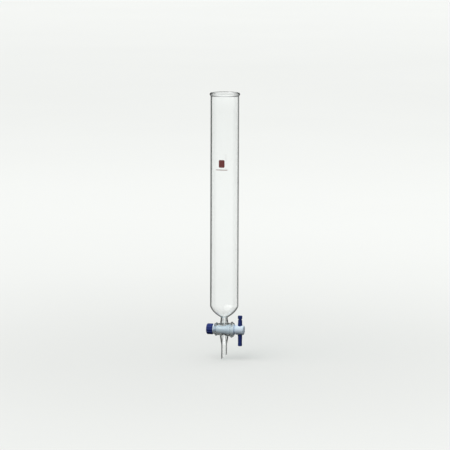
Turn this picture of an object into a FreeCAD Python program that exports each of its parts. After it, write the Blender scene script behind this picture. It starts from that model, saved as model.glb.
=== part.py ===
"""Cylindrical separatory funnel with a PTFE stopcock, as separate pieces.

Frame: millimetres, +Z up. Z is the axis of the glass column, X is the axis of
the stopcock plug (handle at +X, retaining nut at -X), -Y is the front, where
the fired mark is. The origin is on the column axis at the height of the
lowest point of the drip tip. The stopcock is drawn open: its 2 mm bore and
the tee handle are in line with the column.
"""
import FreeCAD
import Part
import math
import os

Vector = FreeCAD.Vector

# ---------------------------------------------------------------- shared
plug_z = 45.0               # height of the stopcock axis
overrun = 2.0               # how far most cutters run past the face they cut
round_mid = 0.29            # inset of the middle of a rounding, as a share of its radius

# ---------------------------------------------------------------- column
tube_od = 41.6
tube_id = 38.0
tube_r = tube_od / 2.0
tube_bore_r = tube_id / 2.0
rim_z = 395.5               # top of the beaded rim
bead_r = 44.4 / 2.0         # outside radius of the bead
bead_h = 4.9                # height over which the bead swells
rim_end_drop = 1.15         # the bead curve ends this far below the rim top
rim_fillet = 0.7            # softening of the inner edge of the rim
column_overrun = 5.0        # the column bore is cut this far above the rim
dome_z = 80.4               # level where the rounded bottom starts
dome_h = 18.24              # depth of the superellipse the bottom follows
dome_power = 1.5            # its power: a full shoulder and nearly straight flanks
dome_end_r = 7.6            # the bottom runs straight from here to the neck
dome_wall = 1.8             # wall of the rounded bottom
# stations of the bottom, as shares of its depth, upward from the straight flank
dome_shares = [0.77, 0.66, 0.54, 0.42, 0.31, 0.21, 0.13, 0.06]

# outside of the rim: radius, height from the rim top
rim_stations = [
    (tube_r, -bead_h),
    (tube_r + 0.42, -bead_h + 0.95),
    (bead_r - 0.22, -bead_h + 1.85),
    (bead_r, -2.15),
    (bead_r - 0.42, -0.85),
    (tube_r - 0.45, 0),
    (tube_bore_r - 0.35, -rim_end_drop),
]

# ------------------------------------------------------ arms of the stopcock
arm_root = 3.5              # both arms start this far from the plug axis
bore_root = 4.0             # and so do their bores
neck_r_top = 5.15           # outside radius of the neck under the dome
neck_r_low = 6.0            # outside radius where the neck meets the barrel
neck_blend_r = 2.5          # outside blend, dome to neck
bore_blend_r = 4.0          # inside blend, dome to bore
port_r = 1.5                # bore in the neck and in the barrel wall
arm_r_top = 6.25            # outside radius of the lower arm at the barrel
stem_r = 4.2                # outside radius of the drip stem
stem_bore_r = 2.6
stem_top_z = 22.0           # the straight stem ends here
tip_rise = 7.8              # rise of the bevel across the tip
tip_cutter_w = 40.0
tip_cutter_h = 20.0
joint_fillet = 1.3          # flame-worked fillet, arms to barrel

# outside of the neck, upward: radius, height from the plug axis
neck_stations = [
    (neck_r_low + 0.78, arm_root),
    (neck_r_low + 0.4, 7.0),
    (neck_r_low, 10.2),
    (neck_r_top + 0.5, 13.2),
    (neck_r_top + 0.12, 15.4),
]

# outside of the lower arm, upward: radius, height from the plug axis
arm_stations = [
    (stem_r, stem_top_z - plug_z),
    (stem_r + 0.25, -21.0),
    (4.94, -18.3),
    (5.4, -15.4),
    (5.86, -12.5),
    (arm_r_top, -9.3),
    (arm_r_top + 0.36, -6.6),
    (arm_r_top + 0.72, -arm_root),
]

# inside of the lower arm, downward: radius, height from the plug axis
drain_stations = [
    (port_r, -8.6),
    (port_r + 0.25, -12.0),
    (stem_bore_r - 0.2, -19.5),
    (stem_bore_r, -24.0),
]

# ---------------------------------------------------------------- barrel
barrel_half = 14.5          # half length of the glass barrel
barrel_r_mid = 9.35         # outside radius at the column axis
barrel_slope = 0.0689       # growth of that radius per mm toward +X
ridges = [(-11.8, 1.5), (11.5, 1.7)]    # x and height of the two rolled ridges
ridge_w = 1.2               # half width of the ridges
barrel_round = 0.9          # rounding of the barrel ends
barrel_steps = 72           # intervals between the points of its outside curve
taper_d_mid = 13.5          # plug diameter at the column axis
taper = 1.0 / 5.0           # 1:5 taper on diameter
plug_gap = 0.05             # radial gap, plug to glass
seat_chamfer = 0.45         # at both mouths of the tapered seat

# ---------------------------------------------------------------- plug
plug_small_x = -12.2        # small end of the taper, inside the barrel
plug_small_chamfer = 0.5
plug_large_x = 15.6         # large end of the taper
plug_large_chamfer = 0.7    # along the axis
plug_large_inset = 0.75     # across it
plug_bore_d = 2.0           # bore through the plug
cross_drill_len = 30.0      # cutters across the plug
waist_r = 10.7 / 2.0        # waist between the taper and the head
head_r = 14.0 / 2.0         # round head that carries the handle
head_x0 = 17.6
head_x1 = 30.0
head_chamfer_in = 0.5       # toward the waist
head_chamfer_out = 0.8      # at the outer end
tail_r = 4.0                # tail for washer and nut, M8 x 1.5
tail_end_x = -25.5
tail_chamfer = 0.7
tail_flat = 3.1             # height of the key flat above the axis
pitch = 1.5
thread_root_r = 3.1
thread_x0 = -17.6           # the thread runs from here to the tail end
thread_clear = 0.35         # the thread cutter stands this far above the tail
groove_w = pitch * 0.175    # width of the thread groove at its root
flank_angle = math.radians(30)
flank_spread = 2 * math.tan(flank_angle)    # change of thread width per mm of radius

# ---------------------------------------------------------------- handle
handle_x = 24.0
handle_top = 21.35          # above the plug axis
handle_bot = -23.8          # below the plug axis
handle_fit_r = 3.3          # seat in the head
handle_waist_r = 3.0
handle_foot_r = 3.1
handle_round = 0.6          # rounding of both ends
button_r = 3.3
button_len = 4.6
button_z = handle_top - button_len      # underside of the button
groove_r = 2.3

# the three curves of the handle, downward: radius, height from the plug axis
groove_stations = [
    (button_r, button_z + 0.35),
    (button_r - 0.4, button_z),
    (groove_r, button_z - 0.6),
    (groove_r + 0.03, button_z - 1.1),
    (handle_waist_r, button_z - 1.75),
]
upper_stations = [
    (handle_waist_r, button_z - 1.75),
    (handle_waist_r + 0.02, button_z - 3.5),
    (3.13, button_z - 6.2),
    (3.24, head_r + 1.2),
    (handle_fit_r, head_r - 0.6),
]
lower_stations = [
    (handle_fit_r, -head_r + 0.6),
    (3.2, -head_r - 1.4),
    (3.08, -head_r - 4.0),
    (handle_waist_r, -head_r - 7.6),
    (handle_waist_r, -head_r - 9.6),
    (2.98, -head_r - 12.4),
    (handle_foot_r, -head_r - 14.4),
    (handle_foot_r, handle_bot + handle_round),
]

# ------------------------------------------------- nut, washer and O-ring
washer_x0 = -barrel_half    # the washer bears on the barrel end
washer_t = 2.0
washer_x1 = washer_x0 - washer_t
washer_r = 14.4 / 2.0
washer_chamfer = 0.25
washer_gap = 0.08
oring_r = 5.1               # centre-line radius of the O-ring
oring_section_r = 1.0
nut_x0 = -16.9
nut_x1 = -26.2
nut_r = 16.1 / 2.0
nut_round = 2.3             # rounding of the free end
nut_chamfer = 0.4           # at the washer end
nut_cb_r = 6.3              # counterbore that houses the O-ring
nut_cb_depth = 1.6
nut_minor_r = 3.26
nut_lead = 1.1              # length of the lead-in cone at the free end
nut_cutter_len = 20.0
nut_cutter_overrun = 5.0
thread_gap = 0.08
tooth_sink = 0.25           # the tooth cutter starts this far inside the nut bore
tooth_w_max = pitch * 0.96  # keeps neighbouring turns of the cutter apart
flutes = 12
flute_r = 1.5
flute_depth = 0.62

# ---------------------------------------------------------------- mark
mark_t = 0.12               # thickness of the fired enamel
mark_z = 293.5
mark_w = 8.6
mark_h = 11.2
mark_corner = 1.8
line_w = 17.0
line_h = 0.9
line_corner = line_h * 0.45
line_drop = 9.0             # from the middle of the patch to the line
mark_cutter_y = -35.0       # the block that trims the mark starts here
mark_cutter_len = 30.0      # and runs this far back


# ---------------------------------------------------------------- helpers
def line(start, end):
    return Part.LineSegment(start, end).toShape()


def arc(start, middle, end):
    return Part.Arc(start, middle, end).toShape()


def curve(points, start_tangent=None, end_tangent=None):
    spline = Part.BSplineCurve()
    if start_tangent is not None:
        spline.interpolate(Points=points, InitialTangent=start_tangent,
                           FinalTangent=end_tangent)
    else:
        spline.interpolate(Points=points)
    return spline.toShape()


def profile(*steps):
    """Closed face from points and ready edges; gaps are bridged by lines.

    The first step is a point on the turning axis."""
    edges, last = [], None
    for step in steps:
        is_edge = isinstance(step, Part.Shape)
        start = step.valueAt(step.FirstParameter) if is_edge else step
        if last is not None and last.distanceToPoint(start) > 1e-6:
            edges.append(line(last, start))
        if is_edge:
            edges.append(step)
            last = step.valueAt(step.LastParameter)
        else:
            last = step
    edges.append(line(last, steps[0]))
    return Part.Face(Part.Wire(edges))


def spin_z(face, axis_x=0.0):
    return face.revolve(Vector(axis_x, 0, 0), Vector(0, 0, 1), 360)


def spin_x(face):
    """Turned about the plug axis, with the seam at the back."""
    solid = face.revolve(Vector(0, 0, plug_z), Vector(1, 0, 0), 360)
    solid.rotate(Vector(0, 0, plug_z), Vector(1, 0, 0), -90)
    return solid


def at_rz(radius, z, axis_x=0.0):
    """Profile point at a radius from an upright axis."""
    return Vector(axis_x + radius, 0, z)


def at_xr(x, radius):
    """Profile point at a radius from the plug axis."""
    return Vector(x, 0, plug_z + radius)


def stations(table, z_datum, axis_x=0.0):
    return [at_rz(radius, z_datum + z, axis_x) for radius, z in table]


def rod_x(radius, length, x, y=0.0, z=plug_z):
    return Part.makeCylinder(radius, length, Vector(x, y, z), Vector(1, 0, 0))


def one_solid(shape):
    solids = shape.Solids
    if len(solids) != 1:
        raise RuntimeError("expected one solid, got %d" % len(solids))
    return solids[0]


def fillet_found(solid, radius, edges):
    """Fillet the selected edges; a solid with none of them stays as it is."""
    return one_solid(solid.makeFillet(radius, edges)) if edges else solid


def plug_r(x):
    """Radius of the plug taper."""
    return (taper_d_mid + taper * x) / 2.0


# ---------------------------------------------------------------- rounded bottom
def dome_slope(r_share):
    """Steepness of the bottom at a share of the tube radius."""
    power = dome_power
    return (dome_h * (1.0 - r_share ** power) ** (1.0 / power - 1.0)
            * r_share ** (power - 1.0) / tube_r)


def dome_point(share, offset):
    """Point of the rounded bottom at a share of its depth, moved inward."""
    r_share = (1.0 - share ** dome_power) ** (1.0 / dome_power)
    slope = dome_slope(r_share)
    norm = math.hypot(1.0, slope)
    return at_rz(tube_r * r_share - offset * slope / norm,
                 dome_z - dome_h * share + offset / norm)


def bottom_profile(offset, blend_r, wall_r):
    """Edges from the foot of the blend on a vertical wall, along the bottom and
    round to the tube, and that foot. The offset is 0 outside, the wall inside."""
    end_share = (1.0 - (dome_end_r / tube_r) ** dome_power) ** (1.0 / dome_power)
    points = [dome_point(share, offset) for share in [end_share] + dome_shares]
    end = points[0]
    points.append(at_rz(tube_r - offset, dome_z + 0.45 * offset))

    # straight flank, at this angle from the vertical, tangent to the blend
    angle = math.atan(1.0 / dome_slope(dome_end_r / tube_r))
    run = (end.x + blend_r * math.cos(angle) - wall_r - blend_r) / math.sin(angle)
    blend_top = at_rz(end.x - run * math.sin(angle), end.z - run * math.cos(angle))
    centre_r = wall_r + blend_r
    centre_z = blend_top.z - blend_r * math.sin(angle)
    mid_angle = math.pi - angle / 2
    blend_mid = at_rz(centre_r + blend_r * math.cos(mid_angle),
                      centre_z + blend_r * math.sin(mid_angle))
    foot = at_rz(wall_r, centre_z)
    edges = [arc(foot, blend_mid, blend_top),
             line(blend_top, end),
             curve(points, Vector(math.sin(angle), 0, math.cos(angle)), Vector(0, 0, 1))]
    return edges, foot


# ---------------------------------------------------------------- glass
def column_blank():
    """Outside of neck, rounded bottom, tube and bead, filled."""
    dome, foot = bottom_profile(0.0, neck_blend_r, neck_r_top)
    neck = curve(stations(neck_stations, plug_z) + [foot],
                 Vector(-0.1, 0, 1), Vector(0, 0, 1))
    rim = curve(stations(rim_stations, rim_z), Vector(0, 0, 1), Vector(-0.9, 0, -1))
    return spin_z(profile(at_rz(0, plug_z + arm_root), neck, *dome, rim,
                          at_rz(0, rim_z - rim_end_drop)))


def lower_arm_blank():
    arm = curve(stations(arm_stations, plug_z), Vector(0, 0, 1), Vector(0.1, 0, 1))
    return spin_z(profile(at_rz(0, 0), at_rz(stem_r, 0), arm,
                          at_rz(0, plug_z - arm_root)))


def barrel_r(x):
    radius = barrel_r_mid + barrel_slope * x
    for ridge_x, height in ridges:
        radius += height * math.exp(-abs((x - ridge_x) / ridge_w) ** 3)
    return radius


def barrel_blank():
    """Conical barrel with its two rolled ridges and rounded ends, filled."""
    x0, x1 = -barrel_half + barrel_round, barrel_half - barrel_round
    xs = [x0 + (x1 - x0) * i / barrel_steps for i in range(barrel_steps + 1)]
    skin = curve([at_xr(x, barrel_r(x)) for x in xs])
    inset = barrel_round * (1 - math.sqrt(0.5))
    left = arc(at_xr(-barrel_half, barrel_r(x0) - barrel_round),
               at_xr(-barrel_half + inset, barrel_r(x0) - inset),
               at_xr(x0, barrel_r(x0)))
    right = arc(at_xr(x1, barrel_r(x1)),
                at_xr(barrel_half - inset, barrel_r(x1) - inset),
                at_xr(barrel_half, barrel_r(x1) - barrel_round))
    return spin_x(profile(at_xr(-barrel_half, 0), left, skin, right,
                          at_xr(barrel_half, 0)))


def is_arm_seam(edge):
    """A saddle-shaped edge where an arm runs into the barrel."""
    box = edge.BoundBox
    return (6 < box.XLength < 16 and box.YLength > 6 and 1.0 < box.ZLength < 6
            and 5 < abs(box.Center.z - plug_z) < 11)


def is_inner_rim(edge):
    """A level circle of the tube bore near the top."""
    box = edge.BoundBox
    return (box.ZLength < 0.01 and box.ZMin > rim_z - 3
            and abs(box.XLength - tube_id) < 0.2)


def column_bore():
    dome, _ = bottom_profile(dome_wall, bore_blend_r, port_r)
    top_z = rim_z + column_overrun
    return spin_z(profile(at_rz(0, plug_z + bore_root), at_rz(port_r, plug_z + bore_root),
                          *dome, at_rz(tube_bore_r, top_z), at_rz(0, top_z)))


def stem_bore():
    drain = curve(stations(drain_stations, plug_z), Vector(0, 0, -1), Vector(0, 0, -1))
    return spin_z(profile(at_rz(0, plug_z - bore_root), at_rz(port_r, plug_z - bore_root),
                          drain, at_rz(stem_bore_r, -overrun), at_rz(0, -overrun)))


def plug_seat():
    """Tapered hole through the barrel, chamfered at both mouths."""
    def hole_r(x):
        return plug_r(x) + plug_gap

    half, chamfer = barrel_half, seat_chamfer
    small_r, large_r = hole_r(-half) + chamfer, hole_r(half) + chamfer
    return spin_x(profile(
        at_xr(-half - overrun, 0), at_xr(-half - overrun, small_r), at_xr(-half, small_r),
        at_xr(-half + chamfer, hole_r(-half + chamfer)),
        at_xr(half - chamfer, hole_r(half - chamfer)),
        at_xr(half, large_r), at_xr(half + overrun, large_r), at_xr(half + overrun, 0)))


def tip_bevel():
    """Wedge that bevels the drip tip, leaving the long side toward the nut."""
    angle = math.atan2(tip_rise, 2 * stem_r)
    wedge = Part.makeBox(tip_cutter_w, tip_cutter_w, tip_cutter_h,
                         Vector(-tip_cutter_w / 2, -tip_cutter_w / 2, -tip_cutter_h))
    wedge.rotate(Vector(0, 0, 0), Vector(0, 1, 0), -math.degrees(angle))
    wedge.translate(Vector(-stem_r, 0, 0))
    return wedge


def glass_body():
    outer = one_solid(column_blank().fuse([barrel_blank(), lower_arm_blank()]))
    outer = fillet_found(outer, joint_fillet, [e for e in outer.Edges if is_arm_seam(e)])
    glass = one_solid(outer.cut([column_bore(), stem_bore(), plug_seat()]))
    glass = one_solid(glass.cut(tip_bevel()))
    return fillet_found(glass, rim_fillet, [e for e in glass.Edges if is_inner_rim(e)])


# ---------------------------------------------------------------- mark
def enamel_patch(width, height, corner, z):
    """Thin rounded rectangle wrapped on the front of the tube."""
    ring = Part.makeCylinder(tube_r + mark_t, height + 4,
                             Vector(0, 0, z - height / 2 - 2)).cut(
        Part.makeCylinder(tube_r, height + 8, Vector(0, 0, z - height / 2 - 4)))
    block = Part.makeBox(width, mark_cutter_len, height,
                         Vector(-width / 2, mark_cutter_y, z - height / 2))
    edges = [e for e in block.Edges if e.BoundBox.YLength > mark_cutter_len - 1]
    block = block.makeFillet(corner, edges)
    return one_solid(ring.common(block))


def enamel_mark():
    return Part.makeCompound([
        enamel_patch(mark_w, mark_h, mark_corner, mark_z),
        enamel_patch(line_w, line_h, line_corner, mark_z - line_drop)])


# ---------------------------------------------------------------- plug
def helix_ridge(r_in, r_out, w_in, w_out, x_from, x_to):
    """Solid ridge of trapezoid section wound right-handed about the plug
    axis, from x_from toward x_to (x_to < x_from)."""
    helix = Part.makeLongHelix(pitch, abs(x_to - x_from), r_in, 0.0)
    section = Part.makePolygon([Vector(r_in, 0, -w_in / 2), Vector(r_out, 0, -w_out / 2),
                                Vector(r_out, 0, w_out / 2), Vector(r_in, 0, w_in / 2),
                                Vector(r_in, 0, -w_in / 2)])
    ridge = Part.Wire(helix.Edges).makePipeShell([section], True, True)
    # the sweep may come back as a shell, or inside out
    if ridge.ShapeType != "Solid":
        ridge = Part.Solid(ridge.Shells[0])
    # local +Z becomes -X
    ridge.rotate(Vector(0, 0, 0), Vector(0, 1, 0), -90)
    ridge.translate(Vector(x_from, 0, plug_z))
    if ridge.Volume < 0:
        ridge.reverse()
    return ridge


def cross_drill(radius, x):
    """Upright cylinder through the plug axis."""
    return Part.makeCylinder(radius, cross_drill_len,
                             Vector(x, 0, plug_z - cross_drill_len / 2))


def stopcock_plug():
    body = one_solid(spin_x(profile(
        at_xr(tail_end_x, 0), at_xr(tail_end_x, tail_r - tail_chamfer),
        at_xr(tail_end_x + tail_chamfer, tail_r), at_xr(plug_small_x, tail_r),
        at_xr(plug_small_x, plug_r(plug_small_x) - plug_small_chamfer),
        at_xr(plug_small_x + plug_small_chamfer, plug_r(plug_small_x + plug_small_chamfer)),
        at_xr(plug_large_x - plug_large_chamfer, plug_r(plug_large_x - plug_large_chamfer)),
        at_xr(plug_large_x, plug_r(plug_large_x) - plug_large_inset),
        at_xr(plug_large_x, waist_r), at_xr(head_x0, waist_r),
        at_xr(head_x0, head_r - head_chamfer_in), at_xr(head_x0 + head_chamfer_in, head_r),
        at_xr(head_x1 - head_chamfer_out, head_r), at_xr(head_x1, head_r - head_chamfer_out),
        at_xr(head_x1, 0))))
    body = one_solid(body.cut([cross_drill(plug_bore_d / 2, 0),
                               cross_drill(handle_fit_r, handle_x)]))
    r_out = tail_r + thread_clear
    w_out = groove_w + (r_out - thread_root_r) * flank_spread
    body = one_solid(body.cut(helix_ridge(thread_root_r, r_out, groove_w, w_out,
                                          thread_x0, tail_end_x - overrun)))
    flat = Part.makeBox(plug_small_x - tail_end_x + overrun, 20, 10,
                        Vector(tail_end_x - overrun, -10, plug_z + tail_flat))
    return one_solid(body.cut(flat))


# ---------------------------------------------------------------- handle
def tee_handle():
    def at_handle(radius, z):
        return at_rz(radius, plug_z + z, handle_x)

    def handle_curve(table, *tangents):
        return curve(stations(table, plug_z, handle_x), *tangents)

    top, bottom, size = handle_top, handle_bot, handle_round
    inset = size * round_mid
    top_round = arc(at_handle(button_r - size, top),
                    at_handle(button_r - inset, top - inset),
                    at_handle(button_r, top - size))
    low_round = arc(at_handle(handle_foot_r, bottom + size),
                    at_handle(handle_foot_r - inset, bottom + inset),
                    at_handle(handle_foot_r - size, bottom))
    groove = handle_curve(groove_stations, Vector(0, 0, -1), Vector(0.2, 0, -1))
    face = profile(at_handle(0, top), top_round, groove, handle_curve(upper_stations),
                   handle_curve(lower_stations), low_round, at_handle(0, bottom))
    return one_solid(spin_z(face, handle_x))


# ------------------------------------------------- nut, washer and O-ring
def nut_tooth():
    """Tooth of the nut's thread space: the tail thread grown by the gap."""
    root_w = pitch - groove_w       # width of the tail's tooth at its root radius
    growth = 2 * thread_gap / math.cos(flank_angle)
    r_in, r_out = nut_minor_r - tooth_sink, tail_r + thread_gap
    w_in = root_w - (r_in - thread_root_r) * flank_spread + growth
    w_out = root_w - (r_out - thread_root_r) * flank_spread + growth
    # half a pitch out of step with the groove of the tail
    start = thread_x0 + pitch / 2 + pitch
    return helix_ridge(r_in, r_out, min(w_in, tooth_w_max), w_out, start, nut_x1 - 3.0)


def retaining_nut():
    inset = nut_round * round_mid
    blank = one_solid(spin_x(profile(
        at_xr(nut_x0, 0), at_xr(nut_x0, nut_r - nut_chamfer),
        at_xr(nut_x0 - nut_chamfer, nut_r),
        arc(at_xr(nut_x1 + nut_round, nut_r), at_xr(nut_x1 + inset, nut_r - inset),
            at_xr(nut_x1, nut_r - nut_round)),
        at_xr(nut_x1, 0))))

    cutter_x = nut_x1 - nut_cutter_overrun
    flute_ring_r = nut_r + flute_r - flute_depth
    flute_cuts = []
    for i in range(flutes):
        angle = 2 * math.pi * (i + 0.5) / flutes
        flute_cuts.append(rod_x(flute_r, nut_cutter_len, cutter_x,
                                flute_ring_r * math.cos(angle),
                                plug_z + flute_ring_r * math.sin(angle)))
    blank = one_solid(blank.cut(flute_cuts))

    counterbore = rod_x(nut_cb_r, nut_cb_depth + overrun, nut_x0 - nut_cb_depth)
    hole = rod_x(nut_minor_r, nut_cutter_len, cutter_x)
    lead_r = tail_r + thread_clear
    lead = spin_x(profile(at_xr(nut_x1 - 1, 0), at_xr(nut_x1 - 1, lead_r),
                          at_xr(nut_x1, lead_r), at_xr(nut_x1 + nut_lead, nut_minor_r),
                          at_xr(nut_x1 + nut_lead, 0)))
    blank = one_solid(blank.cut([counterbore, hole, lead]))
    return one_solid(blank.cut(nut_tooth()))


def thrust_washer():
    """Flat ring whose hole is keyed to the flat of the tail."""
    x0, x1, chamfer = washer_x0, washer_x1, washer_chamfer
    ring = one_solid(spin_x(profile(
        at_xr(x0, 0), at_xr(x0, washer_r - chamfer), at_xr(x0 - chamfer, washer_r),
        at_xr(x1 + chamfer, washer_r), at_xr(x1, washer_r - chamfer), at_xr(x1, 0))))
    hole = rod_x(tail_r + washer_gap, 10, x1 - overrun)
    key = Part.makeBox(20, 20, 10, Vector(x1 - 5, -10, plug_z + tail_flat + washer_gap))
    return one_solid(ring.cut(hole.cut(key)))


def tension_o_ring():
    """O-ring that lies against the washer."""
    return Part.makeTorus(oring_r, oring_section_r,
                          Vector(washer_x1 - oring_section_r, 0, plug_z), Vector(1, 0, 0))


os.makedirs("parts", exist_ok=True)
for build in (glass_body, enamel_mark, tee_handle, thrust_washer, tension_o_ring,
              stopcock_plug, retaining_nut):
    build().exportStep("parts/%s.step" % build.__name__)
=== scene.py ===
"""A glass column with a stopcock, standing upright on the floor.

The column's axis is Z: the drip tip is at z = 0 and the mouth at about z = 395 mm. The plug and the
barrel around it lie along X, PLUG_Z above the floor. The camera looks from the -Y side. This script
builds the glass body and dresses the other pieces, which come from the frame. The glass is worked
out in millimetres and scaled to metres at the end.
"""
import math

import bmesh
import bpy
import numpy as np
from mathutils import Matrix, Vector


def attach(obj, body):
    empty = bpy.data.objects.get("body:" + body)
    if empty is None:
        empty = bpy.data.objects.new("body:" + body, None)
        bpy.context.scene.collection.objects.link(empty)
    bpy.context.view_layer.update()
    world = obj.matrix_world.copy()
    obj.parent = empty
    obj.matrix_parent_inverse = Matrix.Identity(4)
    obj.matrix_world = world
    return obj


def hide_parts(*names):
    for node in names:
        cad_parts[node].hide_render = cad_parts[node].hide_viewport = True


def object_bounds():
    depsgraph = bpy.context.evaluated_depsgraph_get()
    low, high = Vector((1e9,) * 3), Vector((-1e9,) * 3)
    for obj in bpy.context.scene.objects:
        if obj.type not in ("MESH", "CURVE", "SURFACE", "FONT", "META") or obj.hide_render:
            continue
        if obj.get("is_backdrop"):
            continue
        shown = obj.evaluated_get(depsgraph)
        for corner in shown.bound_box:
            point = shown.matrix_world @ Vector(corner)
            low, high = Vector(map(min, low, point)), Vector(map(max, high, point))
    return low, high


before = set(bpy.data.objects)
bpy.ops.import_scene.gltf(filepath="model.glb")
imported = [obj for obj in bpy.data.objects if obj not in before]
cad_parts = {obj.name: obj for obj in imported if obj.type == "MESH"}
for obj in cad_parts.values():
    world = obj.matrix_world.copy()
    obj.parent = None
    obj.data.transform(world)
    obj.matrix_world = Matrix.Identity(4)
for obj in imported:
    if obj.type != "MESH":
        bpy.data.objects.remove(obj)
first_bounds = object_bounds()
scene = bpy.context.scene

# ------------------------------------------------------------------ glass dimensions, mm
MM = 0.001                  # metres in a millimetre
PLUG_Z = 45.0
OVERSHOOT = 2.0             # how far a cutter runs on past the glass

TUBE_BORE_R = 19.0
TUBE_BORE_STEP_Z = 394.0    # last ring of the tube bore inside the glass
TUBE_BORE_TOP = 400.5
BORE_GAP = 4.0              # both bores end this far from the plug's axis
TIP_R, TIP_BORE_R = 4.2, 2.6
TIP_BORE_STEP_Z = 12.0
TIP_BEVEL_H = 7.8           # height of the slanting cut across the drip tip
WEDGE_SIZE = (40, 40, 20)

BARREL_HALF = 14.5          # half the barrel's length
BARREL_EDGE_R = 0.9         # rounding of the barrel's ends
BARREL_MID_R = 9.35
BARREL_SLOPE = 0.0689       # radius gained per mm along X
COLLARS = [(-11.8, 1.5), (11.5, 1.7)]       # (x, height above the barrel)
COLLAR_HALF_WIDTH = 1.2

SEAT_MID_D = 13.5
SEAT_TAPER = 0.2            # diameter gained per mm along X
SEAT_CLEARANCE = 0.05
SEAT_CHAMFER = 0.45
SEAT_HALF_RINGS = 12.0      # the plain rings of the seat span this far each way

FILLET_R = 1.45
SKIN_SLACK = 0.03           # how far below the skin a point still counts as on it
COLUMN_WEIGHT = 0.993       # scales distances from the column's skin
FILLET_REACH_X, FILLET_REACH_Z = 9, 16      # the fillets lie this near the barrel's centre

SEGMENTS = {"column": 144, "barrel": 152, "arm": 112, "drain": 72, "seat": 128}

# Outlines as (radius, height), from the bottom up unless said otherwise.
# Outside of the neck, from inside the barrel up to the waist.
NECK = [
    (6.7800, 48.5000), (6.7385, 48.9131), (6.6966, 49.3262), (6.6540, 49.7391), (6.6105, 50.1519),
    (6.5660, 50.5647), (6.5202, 50.9773), (6.4730, 51.3899), (6.4241, 51.8024), (6.3733, 52.2149),
    (6.3210, 52.6273), (6.2677, 53.0396), (6.2141, 53.4518), (6.1610, 53.8639), (6.1091, 54.2758),
    (6.0589, 54.6874), (6.0113, 55.0989), (5.9666, 55.5101), (5.9240, 55.9213), (5.8818, 56.3326),
    (5.8383, 56.7443), (5.7918, 57.1566), (5.7406, 57.5698), (5.6830, 57.9841), (5.6175, 58.3996),
    (5.5451, 58.8155), (5.4696, 59.2297), (5.3950, 59.6400), (5.3252, 60.0443), (5.2642, 60.4404),
    (5.2153, 60.8301), (5.1795, 61.2264), (5.1575, 61.6444), (5.1500, 62.0994)]
# Outside of the flare from the waist to the tube wall.
DOME_OUT = [
    (5.1500, 62.0994), (5.1714, 62.4260), (5.2353, 62.7470), (5.3406, 63.0570), (5.4855, 63.3505),
    (5.6675, 63.6225), (5.8835, 63.8685), (6.1298, 64.0841), (6.4021, 64.2657), (7.0011, 64.6107),
    (7.6000, 64.9557), (8.2204, 65.3224), (8.8315, 65.7021), (9.4337, 66.0947), (10.0276, 66.4998),
    (10.6134, 66.9174), (11.1906, 67.3471), (11.7591, 67.7886), (12.3186, 68.2415), (12.8687, 68.7056),
    (13.4091, 69.1807), (13.9396, 69.6669), (14.4597, 70.1641), (14.9692, 70.6724), (15.4677, 71.1916),
    (15.9545, 71.7217), (16.4291, 72.2625), (16.8909, 72.8139), (17.3391, 73.3760), (17.7724, 73.9499),
    (18.1898, 74.5369), (18.5899, 75.1378), (18.9713, 75.7505), (19.3324, 76.3708), (19.6714, 76.9959),
    (19.9827, 77.6414), (20.2588, 78.3322), (20.4981, 79.0250), (20.7021, 79.6160), (20.8000, 80.4000)]
# Inside of the same flare.
DOME_IN = [
    (1.5000, 61.2071), (1.5343, 61.7297), (1.6365, 62.2433), (1.8050, 62.7392), (2.0369, 63.2088),
    (2.3281, 63.6441), (2.6736, 64.0376), (3.0676, 64.3826), (3.5034, 64.6731), (5.1024, 65.5943),
    (6.7015, 66.5155), (7.2897, 66.8632), (7.8690, 67.2232), (8.4400, 67.5955), (9.0030, 67.9798),
    (9.5583, 68.3758), (10.1055, 68.7833), (10.6445, 69.2019), (11.1748, 69.6314), (11.6963, 70.0715),
    (12.2086, 70.5220), (12.7115, 70.9830), (13.2047, 71.4545), (13.6878, 71.9364), (14.1604, 72.4287),
    (14.6219, 72.9314), (15.0717, 73.4443), (15.5089, 73.9675), (15.9330, 74.5010), (16.3430, 75.0458),
    (16.7380, 75.6030), (17.1170, 76.1733), (17.4773, 76.7548), (17.8153, 77.3442), (18.1279, 77.9410),
    (18.4160, 78.5622), (18.6780, 79.2211), (18.8763, 79.8426), (18.9752, 80.4078), (19.0000, 81.2100)]
# Bead round the mouth, from the outer wall over the top to the inside.
RIM = [
    (20.8000, 390.6000), (20.8307, 390.8889), (20.9147, 391.1288), (21.0394, 391.3343),
    (21.1925, 391.5199), (21.3618, 391.6992), (21.5365, 391.8794), (21.7066, 392.0654),
    (21.8619, 392.2619), (21.9924, 392.4734), (22.0907, 392.7026), (22.1568, 392.9451),
    (22.1925, 393.1956), (22.1993, 393.4485), (22.1779, 393.6997), (22.1275, 393.9462),
    (22.0474, 394.1854), (21.9367, 394.4146), (21.7946, 394.6309), (21.6214, 394.8317),
    (21.4225, 395.0133), (21.2054, 395.1720), (20.9774, 395.3041), (20.7456, 395.4059),
    (20.5176, 395.4736), (20.3005, 395.5034), (20.0977, 395.4931), (19.9048, 395.4430),
    (19.7163, 395.3539), (19.5268, 395.2266), (19.3308, 395.0617), (19.1230, 394.8602),
    (18.8979, 394.6227), (18.6500, 394.3500)]
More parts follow.
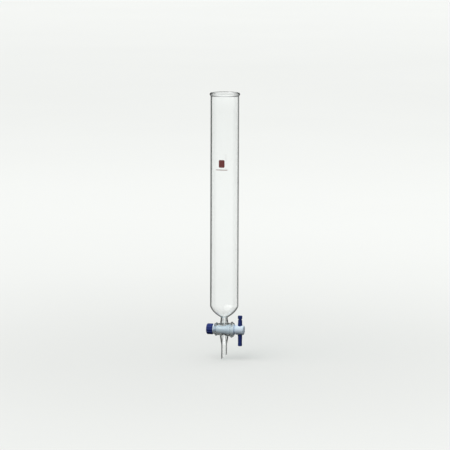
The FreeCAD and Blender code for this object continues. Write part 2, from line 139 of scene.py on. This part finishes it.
# Outside of the arm below the barrel.
ARM = [
    (TIP_R, 22.0), (4.2216, 22.5343), (4.2786, 23.0377), (4.359, 23.5235), (4.4509, 24.0048),
    (4.5445, 24.4921), (4.6372, 24.9859), (4.7285, 25.4844), (4.8178, 25.9858), (4.9044, 26.488),
    (4.9877, 26.9894), (5.0682, 27.4893), (5.1468, 27.9882), (5.2244, 28.4865), (5.3022, 28.9845),
    (5.3812, 29.4828), (5.4621, 29.9816), (5.5443, 30.481), (5.6263, 30.9804), (5.7067, 31.4797),
    (5.784, 31.9784), (5.8567, 32.4762), (5.9237, 32.973), (5.9862, 33.4696), (6.0458, 33.9674),
    (6.104, 34.4675), (6.1625, 34.9712), (6.223, 35.4798), (6.287, 35.9941), (6.3542, 36.5113),
    (6.4229, 37.0249), (6.4914, 37.5287), (6.558, 38.0161), (6.6209, 38.4808), (6.6793, 38.9238),
    (6.735, 39.3632), (6.7899, 39.8197), (6.846, 40.3142), (6.9054, 40.8674), (6.97, 41.5)]
# Bore of the arm, from the top down.
DRAIN = [
    (1.5, 36.4), (1.5416, 35.1748), (1.6423, 34.0054), (1.7661, 32.849), (1.886, 31.675),
    (1.9983, 30.4858), (2.1036, 29.2897), (2.2024, 28.0946), (2.2952, 26.9086), (2.3825, 25.74),
    (2.464, 24.593), (2.5335, 23.4446), (2.5819, 22.2589), (TIP_BORE_R, 21.0)]


# ------------------------------------------------------------------ glass body
def between(start, end, count):
    """The points that divide the line from start to end into count parts, without its ends."""
    return [tuple(a + (b - a) * i / count for a, b in zip(start, end)) for i in range(1, count)]


def new_object(name, bm):
    mesh = bpy.data.meshes.new(name)
    bm.to_mesh(mesh)
    bm.free()
    obj = bpy.data.objects.new(name, mesh)
    scene.collection.objects.link(obj)
    return obj


def turned(name, outline, segments, along_x=False):
    """A solid of revolution about Z, or about the plug's axis; both ends are closed to a pole."""
    verts = []
    rings = []

    def place(radius, height, angle):
        across, over = radius * math.cos(angle), radius * math.sin(angle)
        verts.append((height, across, PLUG_Z + over) if along_x else (across, over, height))
        return len(verts) - 1

    rings.append([place(0.0, outline[0][1], 0.0)])
    for radius, height in outline:
        rings.append([place(radius, height, 2 * math.pi * (k + 0.5) / segments)
                      for k in range(segments)])
    rings.append([place(0.0, outline[-1][1], 0.0)])

    faces = []
    for ring, following in zip(rings, rings[1:]):
        for k in range(segments):
            n = (k + 1) % segments
            if len(ring) == 1:
                faces.append((ring[0], following[n], following[k]))
            elif len(following) == 1:
                faces.append((ring[k], ring[n], following[0]))
            else:
                faces.append((ring[k], ring[n], following[n], following[k]))
    mesh = bpy.data.meshes.new(name)
    mesh.from_pydata(verts, [], faces)
    bm = bmesh.new()
    bm.from_mesh(mesh)
    bmesh.ops.recalc_face_normals(bm, faces=bm.faces)
    if bm.calc_volume(signed=True) < 0:
        bmesh.ops.reverse_faces(bm, faces=bm.faces)
    bm.to_mesh(mesh)
    bm.free()
    obj = bpy.data.objects.new(name, mesh)
    scene.collection.objects.link(obj)
    return obj


def boolean(base, tool, operation):
    """Combine tool into base for good and throw the tool away."""
    modifier = base.modifiers.new("b", "BOOLEAN")
    modifier.operation = operation
    modifier.object = tool
    modifier.solver = "MANIFOLD"
    bpy.context.view_layer.update()
    depsgraph = bpy.context.evaluated_depsgraph_get()
    result = bpy.data.meshes.new_from_object(base.evaluated_get(depsgraph))
    base.modifiers.remove(modifier)
    before = base.data
    base.data = result
    bpy.data.meshes.remove(before)
    tool_mesh = tool.data
    bpy.data.objects.remove(tool)
    bpy.data.meshes.remove(tool_mesh)


def column():
    outline = NECK[:-1] + DOME_OUT + between(DOME_OUT[-1], RIM[0], 9) + RIM
    return turned("glass_visual", outline, SEGMENTS["column"])


def barrel_radius(x):
    radius = BARREL_MID_R + BARREL_SLOPE * x
    for place, height in COLLARS:
        radius = radius + height * np.exp(-np.abs((x - place) / COLLAR_HALF_WIDTH) ** 3)
    return radius


def barrel():
    straight = BARREL_HALF - BARREL_EDGE_R

    def rounded_end(side):
        """Quarter circle from the barrel's wall to its end face."""
        inner = barrel_radius(side * straight) - BARREL_EDGE_R
        return [(inner + BARREL_EDGE_R * math.cos(a),
                 side * (straight + BARREL_EDGE_R * math.sin(a)))
                for a in np.linspace(0, math.pi / 2, 7)[1:]]

    wall = [(barrel_radius(x), x) for x in np.linspace(-straight, straight, 110)]
    outline = rounded_end(-1)[::-1] + wall + rounded_end(1)
    return turned("barrel", outline, SEGMENTS["barrel"], along_x=True)


def arm():
    tip = (TIP_R, 0.0)
    return turned("arm", [tip] + between(tip, ARM[0], 6) + ARM, SEGMENTS["arm"])


def fillet_field(points):
    """Distances from the filleted skin, from the column's skin and from the barrel's."""
    neck_r, neck_z = np.array(NECK).T
    arm_r, arm_z = np.array(ARM).T
    x, y, z = points.T
    skin = np.where(z > PLUG_Z, np.interp(z, neck_z, neck_r), np.interp(z, arm_z, arm_r))
    column_gap = (np.hypot(x, y) - skin) * COLUMN_WEIGHT
    barrel_gap = np.hypot(y, z - PLUG_Z) - barrel_radius(x)
    rounding = np.hypot(np.maximum(FILLET_R - column_gap, 0), np.maximum(FILLET_R - barrel_gap, 0))
    filleted = np.maximum(FILLET_R, np.minimum(column_gap, barrel_gap)) - rounding
    return filleted, column_gap, barrel_gap


def flame_fillets(mesh):
    """Lift the skin near the barrel's seams onto a rounded union, by Newton steps."""
    flat = np.empty(len(mesh.vertices) * 3)
    mesh.vertices.foreach_get("co", flat)
    coords = flat.reshape(-1, 3)
    _, column_gap, barrel_gap = fillet_field(coords)
    near = ((np.minimum(column_gap, barrel_gap) > -SKIN_SLACK)
            & (np.maximum(column_gap, barrel_gap) < FILLET_R)
            & (np.abs(coords[:, 2] - PLUG_Z) < FILLET_REACH_Z)
            & (np.abs(coords[:, 0]) < FILLET_REACH_X))
    points = coords[near]
    nudge = 1e-4
    for _ in range(12):
        distance = fillet_field(points)[0]
        slope = np.empty_like(points)
        for k, offset in enumerate(np.eye(3) * nudge):
            rise = fillet_field(points + offset)[0] - fillet_field(points - offset)[0]
            slope[:, k] = rise / (2 * nudge)
        points = points - (distance / np.maximum((slope ** 2).sum(1), 1e-6))[:, None] * slope
    coords[near] = points
    mesh.vertices.foreach_set("co", coords.ravel())
    mesh.update()


def tube_bore():
    step = (TUBE_BORE_R, TUBE_BORE_STEP_Z)
    outline = [(DOME_IN[0][0], PLUG_Z + BORE_GAP)] + DOME_IN + between(DOME_IN[-1], step, 9)
    return turned("bore", outline + [step, (TUBE_BORE_R, TUBE_BORE_TOP)], SEGMENTS["column"])


def drain_bore():
    outline = [(DRAIN[0][0], PLUG_Z - BORE_GAP)] + DRAIN
    outline += [(TIP_BORE_R, TIP_BORE_STEP_Z), (TIP_BORE_R, -OVERSHOOT)]
    return turned("drain", outline, SEGMENTS["drain"])


def plug_seat():
    """The tapered hole for the plug, chamfered at both ends."""
    def seat_radius(x):
        return (SEAT_MID_D + SEAT_TAPER * x) / 2 + SEAT_CLEARANCE

    def mouth(side):
        wide = seat_radius(side * BARREL_HALF) + SEAT_CHAMFER
        inner = side * (BARREL_HALF - SEAT_CHAMFER)
        return [(seat_radius(inner), inner), (wide, side * BARREL_HALF),
                (wide, side * (BARREL_HALF + OVERSHOOT))]

    middle = [(seat_radius(x), x) for x in np.linspace(-SEAT_HALF_RINGS, SEAT_HALF_RINGS, 9)]
    outline = mouth(-1)[::-1] + middle + mouth(1)
    return turned("seat", outline, SEGMENTS["seat"], along_x=True)


def tip_wedge():
    """A block under the drip tip whose top climbs towards +X, leaving the point on the -X side."""
    bm = bmesh.new()
    bmesh.ops.create_cube(bm, size=1.0)
    bmesh.ops.scale(bm, vec=WEDGE_SIZE, verts=bm.verts)
    bmesh.ops.translate(bm, vec=(0, 0, -WEDGE_SIZE[2] / 2), verts=bm.verts)
    slope = math.atan2(TIP_BEVEL_H, 2 * TIP_R)
    bm.transform(Matrix.Translation((-TIP_R, 0, 0)) @ Matrix.Rotation(-slope, 4, "Y"))
    return new_object("wedge", bm)


def finish_glass(mesh):
    """Soften the lip and the tip, set the shading and scale to metres."""
    bm = bmesh.new()
    bm.from_mesh(mesh)
    bmesh.ops.remove_doubles(bm, verts=bm.verts, dist=1e-4)
    lip = [e for e in bm.edges
           if all(abs(math.hypot(v.co.x, v.co.y) - TUBE_BORE_R) < 0.03 and 394.3 < v.co.z < 395.2
                  for v in e.verts)]
    bmesh.ops.bevel(bm, geom=lip, offset=0.55, segments=4, profile=0.5, affect="EDGES")
    tip = [e for e in bm.edges
           if len(e.link_faces) == 2 and e.calc_face_angle(0) > 0.6
           and all(v.co.z < 8.5 for v in e.verts)]
    bmesh.ops.bevel(bm, geom=tip, offset=0.28, segments=3, profile=0.5, affect="EDGES")
    for face in bm.faces:
        face.smooth = True
    for edge in bm.edges:
        if len(edge.link_faces) == 2:
            edge.smooth = edge.calc_face_angle(0) < math.radians(38)
    bmesh.ops.scale(bm, vec=(MM, MM, MM), verts=bm.verts)
    bm.to_mesh(mesh)
    bm.free()


def build_glass():
    body = column()
    boolean(body, barrel(), "UNION")
    boolean(body, arm(), "UNION")
    flame_fillets(body.data)
    for cutter in (tube_bore, drain_bore, plug_seat, tip_wedge):
        boolean(body, cutter(), "DIFFERENCE")
    finish_glass(body.data)
    return body


# ------------------------------------------------------------------ shader building
class Shader:
    """A node tree under construction. Arithmetic takes numbers or sockets and returns a socket."""

    def __init__(self, owner, output):
        owner.use_nodes = True
        self.tree = owner.node_tree
        self.tree.nodes.clear()
        self.out = self.node(output)

    def node(self, kind, inputs=None, **settings):
        node = self.tree.nodes.new("ShaderNode" + kind)
        for name, value in settings.items():
            setattr(node, name, value)
        self.feed(node, inputs or {})
        return node

    def feed(self, node, inputs):
        """Link the sockets among the inputs and set the plain values."""
        for name, value in inputs.items():
            if isinstance(value, bpy.types.NodeSocket):
                self.tree.links.new(value, node.inputs[name])
            else:
                node.inputs[name].default_value = value

    def math(self, operation, *values):
        return self.node("Math", dict(enumerate(values)), operation=operation).outputs[0]

    def plus(self, a, b):
        return self.math("ADD", a, b)

    def minus(self, a, b):
        return self.math("SUBTRACT", a, b)

    def times(self, a, b):
        return self.math("MULTIPLY", a, b)

    def rest(self, a):
        """What a leaves of 1."""
        return self.minus(1.0, a)

    def blend(self, a, b, amount):
        return self.plus(a, self.times(self.minus(b, a), amount))

    def smooth(self, value, span):
        """0 below the span, 1 above it, eased between."""
        inputs = {"From Min": span[0], "From Max": span[1], "Value": value}
        return self.node("MapRange", inputs, interpolation_type="SMOOTHSTEP").outputs["Result"]

    def vary(self, value, low, high):
        """Spread a value of 0 to 1 from low to high."""
        inputs = {"To Min": low, "To Max": high, "Value": value}
        return self.node("MapRange", inputs).outputs["Result"]

    def scaled(self, vector, factor):
        inputs = {0: vector, "Scale": factor}
        return self.node("VectorMath", inputs, operation="SCALE").outputs[0]

    def noise(self, vector, **inputs):
        return self.node("TexNoise", {"Vector": vector, **inputs}).outputs["Fac"]

    def bump(self, height, strength, distance):
        inputs = {"Strength": strength, "Distance": distance, "Height": height}
        return self.node("Bump", inputs).outputs[0]


def new_material(name):
    material = bpy.data.materials.new(name)
    return material, Shader(material, "OutputMaterial")


# ------------------------------------------------------------------ black card and light rays
# Degrees off the view axis over which the card fades in, by the ray's way through the glass
CARD_WALL = (0.5, 3.0)              # mirrored in a wall
CARD_ROD = (22.0, 31.0)             # through a solid rod
CARD_HOLLOW = (36.0, 52.0)          # through both walls of a hollow tube
CARD_WALL_END = (36.0, 46.0)        # mirrored rays pass the narrow card here
CARD_BEHIND = (84.0, 110.0)         # no card from here back
CARD_PASSING = 0.8                  # share of the card lost to rays that pass it
# How black the card is, by direction
CARD_LEFT, CARD_RIGHT, CARD_HIGH = 0.94, 0.72, 0.35
CARD_LOW, CARD_LOW_LEFT, CARD_LOW_RIGHT = 1.0, 0.6, 0.8
# Parts of the ray's unit direction over which those directions blend
LEVEL_SPAN, SIDE_SPAN, LOW_SIDE_SPAN = (0.12, 0.35), (-0.35, 0.35), (0.05, 0.30)
UP_SPAN, DOWN_SPAN = (0.12, 0.45), (0.12, 0.40)
CARD_DARK = 0.02                    # light left where the card is black
HOLLOW_DEPTH = 3.5                  # more refractions than this mean a hollow tube
ANY_DEPTH = 0.5                     # more than this means at least one


def painted_black_card(g):
    """1 on rays that leave the glass by refraction or mirror reflection well off the view axis.

    It is a painted reflection: the floor and backdrop draw dark on these rays, standing for a black
    card beside the glass, just out of frame, so that the glass edges draw.
    """
    incoming = g.node("NewGeometry").outputs["Incoming"]
    to_camera = {"vector_type": "VECTOR", "convert_from": "WORLD", "convert_to": "CAMERA"}
    in_camera = g.node("VectorTransform", {0: incoming}, **to_camera).outputs[0]
    # incoming points back along the ray, so its X grows to the left and its Y downwards
    aim = g.node("SeparateXYZ", {0: in_camera}).outputs
    left, down = aim["X"], aim["Y"]
    angle = g.math("ARCCOSINE", g.times(aim["Z"], -1.0))
    path = g.node("LightPath").outputs
    hollow = g.math("GREATER_THAN", path["Transmission Depth"], HOLLOW_DEPTH)
    reflected = g.math("GREATER_THAN", path["Glossy Depth"], ANY_DEPTH)
    mirrored = g.times(reflected, g.rest(hollow))

    def beyond(span):
        return g.smooth(angle, [math.radians(degrees) for degrees in span])

    rod = beyond(CARD_ROD)
    off = g.plus(rod, g.times(hollow, g.minus(beyond(CARD_HOLLOW), rod)))
    # at the sides the card beside the wall is narrow: rays thrown further out pass it
    level_ray = g.rest(g.smooth(g.math("ABSOLUTE", down), LEVEL_SPAN))
    past = g.times(beyond(CARD_WALL_END), level_ray)
    wall = g.times(beyond(CARD_WALL), g.rest(g.times(past, CARD_PASSING)))
    off = g.blend(off, wall, mirrored)
    card = g.times(off, g.rest(beyond(CARD_BEHIND)))
    clear = g.math("MAXIMUM", path["Is Singular Ray"], path["Is Transmission Ray"])
    clear = g.times(clear, g.rest(path["Is Camera Ray"]))
    # the card is blacker on the left than on the right, and weakest above
    side = g.blend(CARD_RIGHT, CARD_LEFT, g.smooth(left, SIDE_SPAN))
    right = g.times(left, -1.0)
    low = g.blend(CARD_LOW, CARD_LOW_LEFT, g.smooth(left, LOW_SIDE_SPAN))
    low = g.blend(low, CARD_LOW_RIGHT, g.smooth(right, LOW_SIDE_SPAN))
    side = g.blend(side, CARD_HIGH, g.smooth(g.times(down, -1.0), UP_SPAN))
    side = g.blend(side, low, g.smooth(down, DOWN_SPAN))
    side = g.blend(1.0, side, g.math("MAXIMUM", hollow, mirrored))
    return g.times(g.times(card, clear), side)


def matt_ray(g):
    """1 on rays that light plastic, rubber and the floor, 0 on rays seen directly or by glass."""
    path = g.node("LightPath").outputs
    soft = g.times(path["Is Glossy Ray"], g.rest(path["Is Singular Ray"]))
    return g.math("MAXIMUM", path["Is Diffuse Ray"], soft)


# ------------------------------------------------------------------ materials
# Painted shade on the glass: how much darker it draws seen at a slant, by place, for the dark edges
# that refraction gives
SHADE_TUBE, SHADE_COLLAR, SHADE_BEAD = 0.45, 0.65, 0.9
SHADE_BARREL, SHADE_UNDER, SHADE_CREST, SHADE_STEM = 0.5, 0.5, 0.10, 0.8
# Heights in metres over which one place gives way to the next
TUBE_SPAN, COLLAR_SPAN, BEAD_SPAN = (0.058, 0.066), (0.366, 0.3885), (0.3892, 0.3914)
STEM_SPAN, UNDER_SPAN = (0.0345, 0.0365), (0.038, 0.050)
CREST_SPAN, BARREL_SPAN = (0.0475, 0.0508), (0.0535, 0.0555)
SLANT_POWER, TUBE_SLANT_POWER = 2.0, 5.0    # higher keeps the painted shade nearer the outline


def glass_painted_shade(g, z):
    """How clear the glass draws, with painted shade: darker at a slant by an amount set by place, and
    a little darker over the barrel's top.
    """
    facing = g.node("LayerWeight", {"Blend": 0.5}).outputs["Facing"]
    slant = g.math("POWER", facing, SLANT_POWER)
    tube = g.times(g.smooth(z, TUBE_SPAN), SHADE_TUBE)
    tube = g.blend(tube, SHADE_COLLAR, g.smooth(z, COLLAR_SPAN))
    bead = g.smooth(z, BEAD_SPAN)
    tube = g.times(tube, g.rest(bead))
    amount = g.times(bead, SHADE_BEAD)
    in_barrel = g.rest(g.smooth(z, BARREL_SPAN))
    under = g.rest(g.smooth(z, UNDER_SPAN))
    lower = g.blend(SHADE_BARREL, SHADE_UNDER, under)
    lower = g.blend(SHADE_STEM, lower, g.smooth(z, STEM_SPAN))
    amount = g.plus(amount, g.times(lower, in_barrel))
    unshaded = g.rest(g.times(slant, amount))
    tube_shade = g.times(g.math("POWER", facing, TUBE_SLANT_POWER), tube)
    unshaded = g.minus(unshaded, tube_shade)
    # painted shade over the barrel's top, where the plug's lit top shows through
    crest = g.times(g.smooth(z, CREST_SPAN), in_barrel)
    return g.times(unshaded, g.rest(g.times(crest, SHADE_CREST)))


def glass_material():
    material, g = new_material("borosilicate_glass")
    place = g.node("TexCoord").outputs["Object"]
    # draw lines of the tubing: long along Z, fine around it
    stretched = g.node("Mapping", {"Scale": (90, 90, 5), "Vector": place}).outputs[0]
    lines = g.noise(stretched, Scale=3.0, Detail=3.0, Roughness=0.45)
    bump = g.bump(lines, strength=0.25, distance=0.00003)
    z = g.node("SeparateXYZ", {0: place}).outputs["Z"]
    # the glass's own faint tint, times the painted shade
    tint_and_shade = g.scaled((0.997, 0.998, 0.998), glass_painted_shade(g, z))
    glass = g.node("BsdfGlass", {"IOR": 1.473, "Roughness": 0.0, "Color": tint_and_shade, "Normal": bump})
    # shadows and soft light pass straight through
    clear = g.node("BsdfTransparent", {"Color": (0.905, 0.93, 0.93, 1)})
    path = g.node("LightPath").outputs
    soft = g.math("MAXIMUM", path["Is Shadow Ray"], path["Is Diffuse Ray"])
    surface = g.node("MixShader", {0: soft, 1: glass.outputs[0], 2: clear.outputs[0]})
    volume = g.node("VolumeAbsorption", {"Density": 20.0, "Color": (0.80, 0.90, 0.88, 1)})
    g.feed(g.out, {"Surface": surface.outputs[0], "Volume": volume.outputs[0]})
    return material


def solid_material(name, base, rough, grain, depth, variation, specular=0.5, edge_shade=0.0,
                   ring_scale=0.0, ring_weight=0.0, subsurface=0.0):
    """A matt solid. Grain is the noise scale, depth the bump in metres; the slant darkening is painted
    shade.
    """
    material, g = new_material(name)
    bsdf = g.node("BsdfPrincipled", {"IOR": 1.45, "Specular IOR Level": specular})
    place = g.node("TexCoord").outputs["Object"]
    mapped = g.node("Mapping", {"Vector": place}).outputs[0]
    broad = g.noise(mapped, Scale=grain * 0.22, Detail=4.0)
    fine = g.noise(mapped, Scale=grain, Detail=5.0, Roughness=0.6)
    colour = g.scaled(base, g.vary(broad, 1 - variation, 1 + variation))
    if edge_shade:
        # painted shade: the colour is darker where the surface is seen at a slant
        facing = g.node("LayerWeight", {"Blend": 0.35}).outputs["Facing"]
        colour = g.scaled(colour, g.rest(g.times(g.math("POWER", facing, 2.0), edge_shade)))
    roughness = g.vary(fine, rough - 0.07, rough + 0.07)
    height = fine
    if ring_scale:
        # turning rings, spaced along X
        wave = g.node("TexWave", {"Scale": ring_scale, "Distortion": 0.4, "Vector": place},
                      wave_type="BANDS", bands_direction="X", wave_profile="SIN")
        height = g.plus(g.times(wave.outputs["Fac"], ring_weight), height)
    bump = g.bump(height, strength=0.6, distance=depth)
    g.feed(bsdf, {"Base Color": colour, "Roughness": roughness, "Normal": bump})
    if subsurface:
        g.feed(bsdf, {"Subsurface Weight": subsurface, "Subsurface Radius": (1.0, 1.0, 1.0),
                      "Subsurface Scale": 0.0012})
    g.feed(g.out, {"Surface": bsdf.outputs[0]})
    return material


def dress(obj, material):
    obj.data.materials.clear()
    obj.data.materials.append(material)


def dress_fittings():
    ptfe = solid_material("ptfe_white", base=(0.72, 0.83, 0.95), rough=0.46, grain=2600,
                          depth=0.00002, variation=0.025, specular=0.3, ring_scale=900.0,
                          ring_weight=0.5, subsurface=0.15)
    blue = solid_material("polypropylene_blue", base=(0.027, 0.045, 0.200), rough=0.42,
                          grain=3200, depth=0.00003, variation=0.10, specular=0.12, edge_shade=0.55)
    black = solid_material("black_rubber", base=(0.02, 0.02, 0.022), rough=0.6, grain=3000,
                           depth=0.00003, variation=0.15)
    enamel = solid_material("fired_enamel", base=(0.26, 0.075, 0.072), rough=0.45, grain=2400,
                            depth=0.00002, variation=0.16)
    finishes = {"stopcock_plug": ptfe, "thrust_washer": ptfe, "tee_handle": blue,
                "retaining_nut": blue, "tension_o_ring": black, "enamel_mark": enamel}
    for piece, material in finishes.items():
        dress(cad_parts[piece], material)


# ------------------------------------------------------------------ stage
FLOOR_Z = -0.0004
FLOOR_RINGS = [0.05, 0.2, 0.6, 1.5, 4.0, 10.0, 60.0]    # radii, m
FLOOR_SEGMENTS = 96
FLOOR_BOUNCE = 0.05         # how much of the floor's light the solid pieces get back
# Painted shade on the floor round the column, a soft shadow at its foot and dimmer light further out:
# (distance in m, level)
PAINTED_FLOOR_SHADE = [(0.0, 0.86), (0.25, 0.875), (0.5, 0.92), (0.8, 0.965), (1.3, 1.0), (1.9, 1.0),
        (2.7, 0.965), (3.6, 0.945), (5.0, 0.93), (7.0, 0.955), (10.0, 0.99)]
WORLD = 0.72                # strength of the backdrop
HORIZON = 1.32              # gain on the backdrop as seen, so that it meets the floor evenly
BOX_LOW, BOX_HIGH = 0.30, 1.35      # light on matt surfaces from the sides and from overhead
BOX_SPAN = (-0.1, 0.95)     # upward part of the direction over which one turns to the other


def floor_material():
    material, g = new_material("pale_floor")
    place = g.node("TexCoord").outputs["Object"]
    mottle = g.noise(place, Scale=1.3, Detail=4.0)
    fine = g.noise(place, Scale=420.0, Detail=3.0)
    tone = g.vary(mottle, 0.985, 1.015)
    # painted shade: the floor's colour is a little darker at the column's foot and again further out
    position = g.node("NewGeometry").outputs["Position"]
    distance = g.node("VectorMath", {0: position}, operation="LENGTH").outputs["Value"]
    reach = PAINTED_FLOOR_SHADE[-1][0]
    painted_shade = g.node("ValToRGB", {"Fac": g.math("DIVIDE", distance, reach)})
    painted_shade.color_ramp.interpolation = "B_SPLINE"
    stops = painted_shade.color_ramp.elements
    for k, (radius, level) in enumerate(PAINTED_FLOOR_SHADE):
        stop = stops[k] if k < 2 else stops.new(radius / reach)
        stop.position = radius / reach
        stop.color = (level, level, level, 1.0)
    level = g.times(tone, painted_shade.outputs["Color"])
    # painted reflection: the floor draws dark on rays that leave the glass well off the view axis
    level = g.times(level, g.rest(g.times(painted_black_card(g), 1 - CARD_DARK)))
    level = g.times(level, g.rest(g.times(matt_ray(g), 1 - FLOOR_BOUNCE)))
    colour = g.scaled((0.806, 0.813, 0.803), level)
    bump = g.bump(fine, strength=0.15, distance=0.0001)
    bsdf = g.node("BsdfDiffuse", {"Roughness": 0.3, "Color": colour, "Normal": bump})
    g.feed(g.out, {"Surface": bsdf.outputs[0]})
    return material


def build_floor():
    bm = bmesh.new()
    centre = bm.verts.new((0, 0, FLOOR_Z))
    inner = None
    for radius in FLOOR_RINGS:
        angles = [2 * math.pi * k / FLOOR_SEGMENTS for k in range(FLOOR_SEGMENTS)]
        ring = [bm.verts.new((radius * math.cos(a), radius * math.sin(a), FLOOR_Z))
                for a in angles]
        for k in range(FLOOR_SEGMENTS):
            n = (k + 1) % FLOOR_SEGMENTS
            if inner is None:
                bm.faces.new((centre, ring[k], ring[n]))
            else:
                bm.faces.new((inner[k], ring[k], ring[n], inner[n]))
        inner = ring
    floor = new_object("studio_floor", bm)
    floor.data.materials.append(floor_material())
    floor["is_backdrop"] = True


def make_world():
    world = bpy.data.worlds.new("studio")
    scene.world = world
    g = Shader(world, "OutputWorld")
    # painted reflection: the backdrop draws dark on rays that leave the glass well off the view axis
    level = g.rest(g.times(painted_black_card(g), 1 - CARD_DARK))
    # soft box overhead: what matt surfaces see is brighter above than at the sides
    incoming = g.node("NewGeometry").outputs["Incoming"]
    z = g.node("SeparateXYZ", {0: incoming}).outputs["Z"]
    up = g.smooth(g.times(z, -1.0), BOX_SPAN)
    box = g.plus(BOX_LOW, g.times(up, BOX_HIGH - BOX_LOW))
    path = g.node("LightPath").outputs
    refracted = g.math("GREATER_THAN", path["Transmission Depth"], ANY_DEPTH)
    seen = g.math("MAXIMUM", path["Is Camera Ray"], refracted)
    box = g.blend(g.blend(1.0, HORIZON, seen), box, matt_ray(g))
    colour = g.scaled((0.985, 1.0, 0.99), g.times(level, box))
    background = g.node("Background", {"Strength": WORLD, "Color": colour})
    g.feed(g.out, {"Surface": background.outputs[0]})


def add_key_light():
    """A wide sun from above, on the camera's side and to the left."""
    light = bpy.data.lights.new("key", "SUN")
    light.energy = 1.5
    light.angle = math.radians(66)
    light.color = (1.0, 0.995, 0.985)
    sun = bpy.data.objects.new("key", light)
    sun.rotation_euler = Vector((0.45, 0.62, -0.90)).to_track_quat("-Z", "Y").to_euler()
    scene.collection.objects.link(sun)
    sun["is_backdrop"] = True


# Camera place: turn about Z from -Y towards +X, distance from the axis and height in metres
CAMERA_TURN, CAMERA_DISTANCE, CAMERA_HEIGHT = math.radians(12.4), 3.450, 0.6971
# Camera aim: downward tilt, roll, and yaw off the column's axis
PITCH, ROLL, YAW = math.radians(8.185), math.radians(0.177), math.radians(-0.0122)


def add_camera():
    lens = bpy.data.cameras.new("camera")
    lens.sensor_width = 36.0
    lens.lens = 189.848
    lens.clip_start = 0.05
    lens.clip_end = 200.0
    camera = bpy.data.objects.new("camera", lens)
    scene.collection.objects.link(camera)
    heading = CAMERA_TURN + YAW
    forward = Vector((-math.sin(heading) * math.cos(PITCH),
                      math.cos(heading) * math.cos(PITCH), -math.sin(PITCH)))
    right = forward.cross(Vector((0, 0, 1))).normalized()
    up = right.cross(forward)
    rolled_right = right * math.cos(ROLL) + up * math.sin(ROLL)
    rolled_up = up * math.cos(ROLL) - right * math.sin(ROLL)
    rotation = Matrix((rolled_right, rolled_up, -forward)).transposed()
    place = (CAMERA_DISTANCE * math.sin(CAMERA_TURN),
             -CAMERA_DISTANCE * math.cos(CAMERA_TURN), CAMERA_HEIGHT)
    camera.matrix_world = Matrix.Translation(place) @ rotation.to_4x4()
    scene.camera = camera


def set_render():
    view = scene.view_settings
    view.view_transform = "Standard"
    view.look = "None"
    view.exposure = 0.0
    view.gamma = 1.0
    cycles = scene.cycles
    cycles.max_bounces = 24
    cycles.transmission_bounces = 20
    cycles.glossy_bounces = 8
    cycles.transparent_max_bounces = 24
    cycles.caustics_reflective = False
    cycles.caustics_refractive = False


def plain(v):
    """The value in types that JSON can hold."""
    if isinstance(v, dict):
        return {str(k): plain(x) for k, x in v.items()}
    if isinstance(v, (str, bool, int)) or v is None:
        return v
    # a value that can't be iterated is a number
    try:
        return [plain(x) for x in v]
    except TypeError:
        return float(v)


# ------------------------------------------------------------------ build
glass = build_glass()
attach(glass, "column")
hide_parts("glass_body")
dress(glass, glass_material())
dress_fittings()
build_floor()
make_world()
add_key_light()
add_camera()
set_render()

last_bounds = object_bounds()
{"after_load": plain(first_bounds), "before_finish": plain(last_bounds)}
